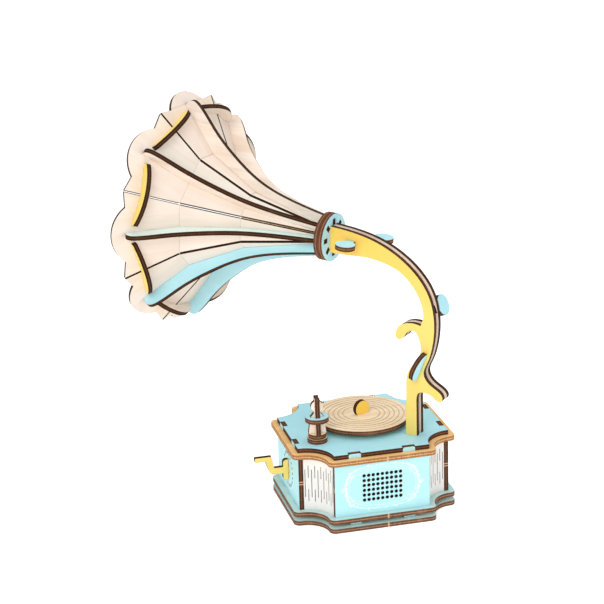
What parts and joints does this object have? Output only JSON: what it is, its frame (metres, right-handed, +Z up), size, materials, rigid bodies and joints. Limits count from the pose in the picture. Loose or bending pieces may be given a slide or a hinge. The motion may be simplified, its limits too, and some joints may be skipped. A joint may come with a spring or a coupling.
{
  "type": "wooden gramophone puzzle model",
  "caption": "Laser-cut plywood gramophone model: box with grille, turning record disc, side crank, twin-plate curved arm and ribbed petal horn.",
  "frame": {"origin": "centre of the base plate's underside, where the model rests", "axes": "+Z up; -Y towards the grille panel; -X towards the crank"},
  "size_m": [0.2024, 0.2018, 0.257],
  "materials": {
    "blue_ply": "3 mm plywood, light blue print on one face, burnt edges",
    "cream_ply": "plain birch plywood, burnt edges",
    "tan_ply": "warm birch plywood, burnt edges",
    "green_ply": "3 mm plywood, pale green print, burnt edges",
    "yellow_ply": "3 mm plywood, yellow print on one face, burnt edges"
  },
  "bodies": {
    "root": {"arm_button_1": "blue_ply", "arm_button_2": "blue_ply", "arm_button_3": "blue_ply", "arm_button_4": "blue_ply", "arm_front_plate": "yellow_ply", "arm_rear_plate": "yellow_ply", "back_panel": "blue_ply", "base_plate": "green_ply", "base_spacer": "green_ply", "collar_arm_disc": "blue_ply", "collar_horn_disc": "blue_ply", "corner_panel_back_left": "cream_ply", "corner_panel_back_right": "cream_ply", "corner_panel_front_left": "cream_ply", "corner_panel_front_right": "cream_ply", "deck_plate": "blue_ply", "floor_plate": "green_ply", "front_panel": "blue_ply", "horn_middle_panels": "cream_ply", "horn_outer_panel_1": "cream_ply", "horn_outer_panel_2": "cream_ply", "horn_outer_panel_3": "cream_ply", "horn_outer_panel_4": "cream_ply", "horn_outer_panel_5": "cream_ply", "horn_outer_panel_6": "cream_ply", "horn_outer_panel_7": "cream_ply", "horn_outer_panel_8": "cream_ply", "horn_rib_1": "blue_ply", "horn_rib_2": "blue_ply", "horn_rib_3": "blue_ply", "horn_rib_4": "blue_ply", "horn_rib_5": "blue_ply", "horn_rib_6": "blue_ply", "horn_rib_7": "blue_ply", "horn_rib_8": "blue_ply", "horn_stays": "yellow_ply", "horn_throat_panels": "cream_ply", "left_panel": "blue_ply", "post_base_disc": "tan_ply", "post_eye_plate": "tan_ply", "post_plain_plate": "tan_ply", "post_ring_disc": "tan_ply", "post_step_disc": "tan_ply", "right_panel": "blue_ply", "trim_plate": "tan_ply"},
    "turntable": {"turntable_disc": "tan_ply", "hub_washer": "tan_ply", "spindle_key": "yellow_ply", "spindle_retainer": "tan_ply"},
    "crank": {"crank_handle": "yellow_ply", "crank_washer": "tan_ply"}
  },
  "joints": [
    {"name": "turntable_spin", "type": "hinge", "parent": "root", "child": "turntable", "pos_m": [0.0008, 0.003, 0.054], "axis": [0, 0, 1], "continuous": true},
    {"name": "crank_turn", "type": "hinge", "parent": "root", "child": "crank", "pos_m": [-0.0495, 0, 0.02615], "axis": [-1, 0, 0], "continuous": true}
  ]
}
